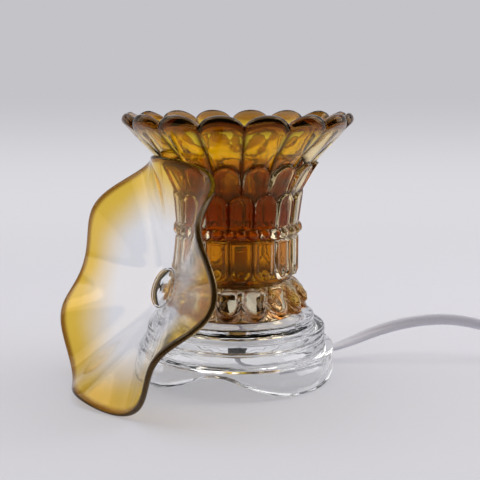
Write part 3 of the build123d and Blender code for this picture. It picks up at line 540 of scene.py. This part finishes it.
# %% Relief of the shade
def shade_relief(z, angle):
    """The moulded outside at this height and angle, in mm, and the share of painted edge shade there."""
    core = read_line(outer_core, z)
    share = ((angle - valley) / pitch) % 1
    side = lobe_side(share)
    from_valley = min(share, 1 - share) * pitch
    from_petal = abs(share - 0.5) * pitch
    radius = core - read_line(scallop, z) * side
    # painted shade in the valleys between the petals
    edge = smooth((side - 0.2) / 0.6) * smooth((z - 104) / 8)
    if 37.5 < z < 56:  # drops, with a brown rim round the lower end
        inside = drop_half * core / 38 - hypot(core * from_petal, max(0, abs(z - drop_z) - drop_run))
        # the brown rim round a drop's lower end is painted shade
        rim = smooth((0.5 - inside) / 0.7) * smooth((49 - z) / 4) * (1 - 0.5 * side)
        edge = max(edge, edge_share(inside), rim)
        fallen = drop_fall * (1 - smooth(inside / 6)) * smooth((50 - z) / 5)
        radius += (pad(inside, drop_proud, 0.0) - fallen) * smooth((z - 37.5) / 2)
    if 54 < z < 80:  # flutes, each with a pearl in its round end
        across = 31.5 * from_valley
        inside = min(flute_half - hypot(across, max(0, flute_arc_z - z)), (flute_top_z - z) * end_slope)
        edge = max(edge, edge_share(inside))
        pearl = smooth(1.6 - hypot(across, (z - pearl_z) * 0.8) * 0.9)
        radius += pad(inside, flute_proud, flute_sunk) + pearl_proud * pearl
    if 76 < z < 85:  # beads, two to a petal
        away = hypot(waist * min(from_valley, from_petal), z - bead_z)
        edge = max(edge, edge_share(bead - away, 0.6))
        radius = 31.0 + sqrt(bead**2 - away**2) * bead_fullness if away < bead else min(radius, waist)
    body = radius
    if 82 < z < 102:  # lower scales
        arc = hypot(32 * from_valley, max(0, z - lower_arc_z))
        inside = min(lower_half - arc, (z - lower_foot_z) * end_slope)
        proud = 31 + 2.4 * (z - 82.8) / 17.8 - core + lower_proud
        edge = max(edge, edge_share(inside, scale_edge_shade_reach))
        radius = max(radius, scale_radius(core, body, inside, proud))
    if 96 < z < 117:  # upper scales, which lean out with the flare
        wall = 31.2 + 10.4 * (z - 96.8) / 18.5
        tip = max(0, (z - 96.8) * 1.147 - upper_arc)
        inside = min(upper_half - hypot(wall * from_petal, tip), (z - upper_foot_z) * end_slope)
        proud = max(wall - core, -0.4) + upper_proud
        edge = max(edge, edge_share(inside, scale_edge_shade_reach))
        radius = max(radius, scale_radius(core, body, inside, proud))
    return radius, edge


print("petal and valley at z 128:", [round(shade_relief(128, valley + pitch * t)[0], 1) for t in (0.5, 0)])

# %% [markdown]
# The shade is spun in 384 steps, 24 to a petal, which is fine enough for a bead. Then every point asks its
# row what it is: foot, outside, lip or inside. The foot and the rim are lifted and drawn in between the
# lobes, the outside gets its relief, and the inside of each petal is hollowed a little.

# %% Shade
flare_z, crown_z = 119.8, 140.3
petal_notch, petal_hollow, lip_dip = 5.7, 1.8, 4.0
foot_arch, foot_dip = 6.6, 4.2
lobed_rows, hem_rows, bare_lip_rows = 2, 2, 4
first_outer = len(foot)
first_lobed = first_outer - lobed_rows
first_lip = first_outer + len(outer_rows)
first_inner = first_lip + len(lip)
first_coat = first_lip + bare_lip_rows
last_hem = first_outer + hem_rows
shade_steps = 24 * petals
bm, row = spun(shade_outline, shade_steps)
coat = bm.verts.layers.float.new("coat")
hem_stain_and_edge_shade = bm.verts.layers.float.new("hem_stain_and_edge_shade")
for vert in bm.verts:
    k = round(vert[row])
    angle = atan2(vert.co.y, vert.co.x)
    radius, z = shade_outline[k]
    side = lobe_side(((angle - valley) / pitch) % 1)
    edge = 0.0
    if first_outer <= k < first_lip:
        radius, edge = shade_relief(z, angle)
        z += foot_arch * side * smooth((48 - z) / 10)
    elif first_lobed <= k < first_outer:
        share = (k - first_lobed + 1) / (lobed_rows + 1)
        radius -= foot_dip * side * share
        z += foot_arch * side * share
    elif first_lip <= k < first_inner:
        radius -= lip_dip * side * max(0, 1 - (k - first_lip) / len(lip))
    if z > flare_z:
        z = flare_z + (z - flare_z) * (crown_z - petal_notch * side - flare_z) / (crown_z - flare_z)
    if k >= first_coat:
        hollow = petal_hollow * (1 - side) * smooth((z - 112) / 14)
        radius = min(radius, read_line(inner_cone, z) + max(0, first_inner - k) * 0.9) + hollow
    vert.co = (radius * cos(angle) * mm, radius * sin(angle) * mm, z * mm)
    vert[coat] = float(k >= first_coat)
    # the hem rows take stain with painted shade, and the relief's edges take painted shade
    vert[hem_stain_and_edge_shade] = max((1 - 0.4 * side) * (first_lobed <= k <= last_hem), edge)
shade_glass = finish_mesh(bm, "shade_glass", shade_amber)
dress(shade_glass, "shade", "amber_glass", "glass_shade")

# %% [markdown]
# The base is three turned steps with rounded edges, hollow below, and a low collar that keeps the shade
# in place. The skirt's lower edge rises in three arches, one of which lets the cord out. A boolean would
# cut them square; here the lower rows are pushed up, so that the edge stays round all along.

# %% Base outline
base_outline = [
    (5.3, 34), (22.7, 34), (22.7, 37.1), (23.1, 37.5), (25.3, 37.5), (25.7, 37.1), (25.7, 34), (33, 34),
    (40.0, 34), (40.75, 33.75), (41.15, 33.3), (41.3, 32.7), (41.3, 28.6), (41.5, 28.1), (42.0, 27.8),
    (45.8, 27.8), (46.55, 27.55), (46.95, 27.1), (47.1, 26.5), (47.1, 24.0), (46.6, 23.6), (46.35, 23.0),
    (46.6, 22.4), (47.1, 22.0), (47.1, 17.3), (47.3, 16.8), (47.8, 16.5), (50.7, 16.5), (51.45, 16.25),
    (51.85, 15.8), (52.0, 15.2), (52.0, 11), (52.0, 6), (52.0, 1.0), (51.7, 0.3), (51.0, 0), (49, 0),
    (47.0, 0), (46.3, 0.3), (46.0, 1.0), (46.0, 6), (46.0, 12.8), (45.3, 13.5), (41.8, 13.5), (41.1, 14.2),
    (41.1, 20.1), (40.4, 20.8), (36.0, 20.8), (35.3, 21.5), (35.3, 26.3), (34.6, 27), (20, 27), (5.3, 27),
]
arch_middles = (-102.5, 17.5, 137.5)
arch_rise = [(0, 13.4), (5, 12.8), (10.2, 10.5), (20.5, 5.6), (30, 2.0), (36, 0.6), (41, 0), (60, 0)]


def arch_height(angle, radius):
    """How far an arch lifts the skirt's lower edge at this angle."""
    rise = 0
    for middle in arch_middles:
        off = atan2(sin(angle - radians(middle)), cos(angle - radians(middle)))
        if abs(off) < pi / 2:
            rise = max(rise, read_line(arch_rise, abs(radius * sin(off))))
    return rise


print("base outline:", len(base_outline), "points")
print("arch:", arch_height(radians(arch_middles[0]), 50), "mm high")

# %% [markdown]
# The base is spun like the shade. Both walls of its skirt are squeezed upward under the arches, the inner
# one a little less, since the hollow ends lower than the step outside.

# %% Base
round_steps = 288
skirt_inside, skirt_split = 45, 49
outer_top, inner_top = 16.3, 13.5
outer_share, inner_share = 15.2 / 16.5, 12.6 / 13.4
bm, row = spun(base_outline, round_steps)
for vert in bm.verts:
    angle, radius, z = atan2(vert.co.y, vert.co.x), hypot(vert.co.x, vert.co.y) / mm, vert.co.z / mm
    if radius > skirt_inside and z < outer_top:
        outer = radius > skirt_split
        top = outer_top if outer else inner_top
        lift = arch_height(angle, radius) * (outer_share if outer else inner_share)
        vert.co.z = (lift + z * (top - lift) / top) * mm
base_glass = finish_mesh(bm, "base_glass", clear_glass, sharp=50)
dress(base_glass, "lamp", "clear_glass", "glass_base")

# %% [markdown]
# The dish is a shallow bowl whose rim was folded while hot into six uneven ruffles. A sum of a few waves
# in angle gives the rim's radius and height, and the wall keeps its thickness along the whole curve. It
# is spun about its own axis first, then leant against the shade.

# %% Dish form
dish_middle = Vector((-52.5, -37.0, 60.1)) * mm
dish_turn, dish_tilt = radians(-56.1), radians(22.8)
dish_radius, dish_depth, dish_foot, dish_wall = 63.25, 21.0, 11.5, 3.0
radius_waves = [(6, 2.2, 180.0), (2, 1.36, 84.0), (3, 1.54, -152.0)]
height_waves = [(6, 5.25, 3.0), (2, 1.6, -21.0), (5, 0.8, 38.0)]


def ruffle(waves, angle):
    """A sum of waves round the rim, each (count, size in mm, phase in degrees)."""
    return sum(size * cos(count * angle - radians(phase)) for count, size, phase in waves)


def dish_line(share, angle):
    """The middle of the wall from foot to rim, as (radius, height) in mm."""
    radius = dish_radius + ruffle(radius_waves, angle)
    height = (dish_wall / 2 - dish_depth) * (1 - share**1.15) + ruffle(height_waves, angle) * share**2
    return Vector((dish_foot + (radius - dish_foot) * share, height))


dish_steps = 26
dish_rows = [(k / dish_steps, -1.0, 0.0) for k in range(dish_steps + 1)]
dish_rows += [(1.0, sin(radians(turn)), cos(radians(turn))) for turn in (-60, -30, 0, 30, 60)]
dish_rows += [(k / dish_steps, 1.0, 0.0) for k in range(dish_steps, -1, -1)]
foot_back = [(0.05, -20.6), (4, -20.6), (9.0, -21.0), (9.6, -21.7), (10.2, -21.7), (10.6, -21.0)]
foot_front = [(9.0, -18.1), (4, -18.1), (0.05, -18.1)]
dish_outline = foot_back + [(11 + r[0] * 50, r[1] * dish_wall / 2) for r in dish_rows] + foot_front
print("rim heights:", [round(dish_line(1, radians(a)).y, 1) for a in range(0, 360, 30)])

# %% [markdown]
# The dish is clear in the middle and fades to amber towards its rim, with a brown, slightly cloudy brink
# where the stain ran thick. The fade is no clean ring, because the stain was blown on: a slow noise of
# 45 mm moves it in and out.

# %% Dish glass
dish_amber, tree, surface = glass("amber_rimmed_glass", "#ffffff")
surface.inputs["Roughness"].default_value = 0.06
surface.inputs["Specular Tint"].default_value = linear("#ffdca8")
pressed(tree, surface, 33, 0.8)
cloud_size = 45 * mm
out_from_foot = add_node(tree, "ShaderNodeAttribute", attribute_name="rimward").outputs["Fac"]
cloud = add_node(tree, "ShaderNodeTexNoise", Vector=object_place(tree), Scale=1 / cloud_size, Detail=2.0)
wander = add_node(
    tree, "ShaderNodeMath", operation="MULTIPLY_ADD", _0=cloud.outputs["Fac"], _1=0.34, _2=-0.17)
reach = add_node(tree, "ShaderNodeMath", operation="ADD", _0=out_from_foot, _1=wander.outputs[0])
blown = add_node(
    tree, "ShaderNodeValToRGB", Fac=reach.outputs[0], stops=[(0.42, "#fdfdfd"), (0.92, "#f8ce50")])
blown.color_ramp.interpolation = "EASE"
brink = add_node(
    tree, "ShaderNodeMapRange", interpolation_type="SMOOTHSTEP", Value=out_from_foot, From_Min=0.95,
    From_Max=1.0)
rimmed = add_node(
    tree, "ShaderNodeMix", data_type="RGBA", _0=brink.outputs["Result"], _6=blown.outputs["Color"],
    _7=linear("#9c6a24"))
tree.links.new(rimmed.outputs[2], surface.inputs["Base Color"])
cloudy = add_node(
    tree, "ShaderNodeMapRange", interpolation_type="SMOOTHSTEP", Value=out_from_foot, From_Min=0.97,
    From_Max=1.0, To_Min=1.0, To_Max=0.88)
tree.links.new(cloudy.outputs["Result"], surface.inputs["Transmission Weight"])
print(dish_amber.name, "has", len(tree.nodes), "nodes")

# %% [markdown]
# The spun bowl is only a carrier of rows. Each point is put half a wall to the side of the wall's middle
# line, square to it, so the glass is equally thick in every fold. A matrix of three axes then leans it.

# %% Dish
bm, row = spun(dish_outline, round_steps)
rimward = bm.verts.layers.float.new("rimward")
for vert in bm.verts:
    k = round(vert[row]) - len(foot_back)
    if 0 <= k < len(dish_rows):
        share, face_side, beyond = dish_rows[k]
        angle = atan2(vert.co.y, vert.co.x)
        along = (dish_line(min(share + 0.01, 1), angle) - dish_line(max(share - 0.01, 0), angle)).normalized()
        out = Vector((-along.y, along.x)) * face_side + along * beyond
        place = dish_line(share, angle) + out * (dish_wall / 2)
        vert.co = (place.x * cos(angle) * mm, place.x * sin(angle) * mm, place.y * mm)
        vert[rimward] = share
facing = Vector((cos(dish_tilt) * sin(dish_turn), -cos(dish_tilt) * cos(dish_turn), sin(dish_tilt)))
upward = (Vector((0, 0, 1)) - facing * facing.z).normalized()
lean = Matrix((upward, facing.cross(upward), facing)).transposed().to_4x4()
lean.translation = dish_middle
bmesh.ops.transform(bm, matrix=lean, verts=bm.verts)
dish_glass = finish_mesh(bm, "dish_glass", dish_amber)
dress(dish_glass, "dish", "amber_rim_glass", "glass_dish")

# %% [markdown]
# The lamp holder, bulb, switch and plug keep their solids and get real finishes: drawn brass, plated
# steel, moulded plastics, rubber and board. One function makes them all, with a grain and a slight change
# of tone, because they differ only in colour, gloss and grain. The grain is drawn a millimetre or two
# coarse so that it shows.


# %% Fittings
def moulded(name, colour, metallic, roughness, size, depth):
    """An opaque finish; the grain's size and depth are in mm."""
    material, tree, surface = new_material(name)
    speck = grain(tree, surface, size, depth)
    full = linear(colour)
    worn = [0.82 * c for c in full[:3]] + [1]
    tone = add_node(tree, "ShaderNodeMix", data_type="RGBA", _0=speck, _6=worn, _7=full)
    tree.links.new(tone.outputs[2], surface.inputs["Base Color"])
    surface.inputs["Metallic"].default_value = metallic
    surface.inputs["Roughness"].default_value = roughness
    return material


# thin and colourless, seen only by its rim and a wandering highlight
bulb_glass, tree, surface = glass("clear_blown_glass", "#fcfdfd")
pressed(tree, surface, 25, 0.2)
finishes = {
    # yellow metal with a soft sheen from drawing and buffing
    "brass": moulded("polished_brass", "#c79a4c", 1.0, 0.24, 2.5, 0.1),
    # cool grey metal, a little duller
    "steel": moulded("plated_steel", "#c6c8ca", 1.0, 0.3, 2.0, 0.1),
    # nearly black, matt and slightly rough
    "rubber_black": moulded("black_rubber", "#1c1c1d", 0.0, 0.75, 1.1, 0.3),
    # dark brown, hard, half-glossy
    "phenolic": moulded("moulded_phenolic", "#241f1b", 0.0, 0.5, 1.4, 0.2),
    # tan and dusty, with a felted face
    "card_liner": moulded("fibre_board", "#a58a63", 0.0, 0.85, 1.7, 0.4),
    # black with a satin gleam
    "black_pvc": moulded("black_flexible_pvc", "#1d1c1e", 0.0, 0.45, 1.25, 0.2),
    # clean white with a broad highlight
    "white_shell": moulded("moulded_white_plastic", "#efeef0", 0.0, 0.35, 1.4, 0.2),
    "white_pvc": cord_plastic,
    "lamp_glass": bulb_glass,
}
for part in frame["record"]["subparts"]:
    finish = finishes.get(part["material_slot"])
    if finish:
        for slot in node[part["node"]].material_slots:
            slot.material = finish
print("finishes:", len(finishes))

# %% [markdown]
# The stage is one sheet of pale paper that sweeps up into a wall. Near the lamp it is lit paper, so it
# keeps the shadow; further back it goes over to an even glow, which gives the smooth grey of the wall. In
# front of the lamp it is dim to everything but the camera, because the glass has to mirror something dark
# there to show its colour and its dark edges, as it does in front of the black card of a studio.

# %% Stage
sweep_outline = [(-4.0, 0), (0.55, 0), (0.75, 0.008), (0.88, 0.04), (0.95, 0.1), (0.98, 0.2), (1.0, 0.9)]
sweep_half = 4.5
bm = bmesh.new()
line = [bm.verts.new((-sweep_half, y, z)) for y, z in sweep_outline]
sheet = bmesh.ops.extrude_edge_only(bm, edges=[bm.edges.new(pair) for pair in zip(line, line[1:])])
moved = [v for v in sheet["geom"] if isinstance(v, bmesh.types.BMVert)]
bmesh.ops.translate(bm, vec=(2 * sweep_half, 0, 0), verts=moved)

dim_before, lit_from = -0.62, -0.3
paper_to, glow_from = 0.12, 0.6
paper, tree, surface = new_material("pale_backdrop_paper")  # matt, with a faint lavender cast
surface.inputs["Roughness"].default_value = 0.8
spot = add_node(tree, "ShaderNodeSeparateXYZ", Vector=object_place(tree))
front = add_node(
    tree, "ShaderNodeMapRange", interpolation_type="SMOOTHSTEP", Value=spot.outputs["Y"],
    From_Min=dim_before, From_Max=lit_from)
seen = add_node(tree, "ShaderNodeLightPath").outputs["Is Camera Ray"]
lit = add_node(tree, "ShaderNodeMath", operation="MAXIMUM", _0=front.outputs["Result"], _1=seen).outputs[0]
pale = add_node(tree, "ShaderNodeMix", data_type="RGBA", _0=lit, _6=linear("#3c3b3d"), _7=linear("#dcdae0"))
tree.links.new(pale.outputs[2], surface.inputs["Base Color"])
thirds = add_node(tree, "ShaderNodeMath", operation="MULTIPLY", _0=spot.outputs["Z"], _1=3.0)
fade = add_node(
    tree, "ShaderNodeValToRGB", Fac=thirds.outputs[0], stops=[(0.0, "#dbdadf"), (0.45, "#c4c3c8")])
fade.color_ramp.interpolation = "EASE"
glow = add_node(tree, "ShaderNodeEmission", Color=fade.outputs["Color"], Strength=lit)
back = add_node(
    tree, "ShaderNodeMapRange", interpolation_type="SMOOTHSTEP", Value=spot.outputs["Y"],
    From_Min=paper_to, From_Max=glow_from, To_Min=0.45)
mixed = add_node(
    tree, "ShaderNodeMixShader", Fac=back.outputs["Result"], _1=surface.outputs["BSDF"],
    _2=glow.outputs["Emission"])
tree.links.new(mixed.outputs["Shader"], tree.nodes["Material Output"].inputs["Surface"])
finish_mesh(bm, "sweep", paper)

# %% [markdown]
# A large box overhead gives the even light and the faint shadow, and two tall boxes at the sides draw the
# edges of the glass. The world is a dim room, darkest in front, and pale where the camera sees it.

# %% Light
world = bpy.data.worlds.new("room")
world.use_nodes = True
bpy.context.scene.world = world
tree = world.node_tree
direction = add_node(tree, "ShaderNodeTexCoord").outputs["Generated"]
toward = add_node(tree, "ShaderNodeSeparateXYZ", Vector=direction)
open_side = add_node(
    tree, "ShaderNodeMapRange", interpolation_type="SMOOTHSTEP", Value=toward.outputs["Y"],
    From_Min=-0.75, From_Max=-0.1, To_Min=0.11, To_Max=0.16)
tree.nodes["Background"].inputs["Color"].default_value = linear("#d2d1d6")
seen = add_node(tree, "ShaderNodeLightPath").outputs["Is Camera Ray"]
room = add_node(tree, "ShaderNodeMath", operation="MAXIMUM", _0=open_side.outputs["Result"], _1=seen)
tree.links.new(room.outputs[0], tree.nodes["Background"].inputs["Strength"])


def soft_box(name, place, aim, size, power):
    """A rectangular lamp, in metres and watts, that looks at a point."""
    light = bpy.data.lights.new(name, "AREA")
    light.shape = "RECTANGLE"
    light.size, light.size_y = size
    light.energy = power
    lamp = bpy.data.objects.new(name, light)
    lamp.location = place
    lamp.rotation_euler = (Vector(aim) - Vector(place)).to_track_quat("-Z", "Y").to_euler()
    bpy.context.collection.objects.link(lamp)
    print(name, power, "W")


soft_box("top_box", (0.0, 0.15, 1.0), (0, 0, 0.05), (1.8, 1.2), 9.2)
soft_box("left_box", (-0.75, 0.05, 0.55), (0, 0, 0.08), (0.5, 0.9), 1.7)
soft_box("right_box", (0.75, 0.1, 0.55), (0, 0, 0.08), (0.5, 0.9), 3.2)

# %% [markdown]

# %% End
print("scene done")
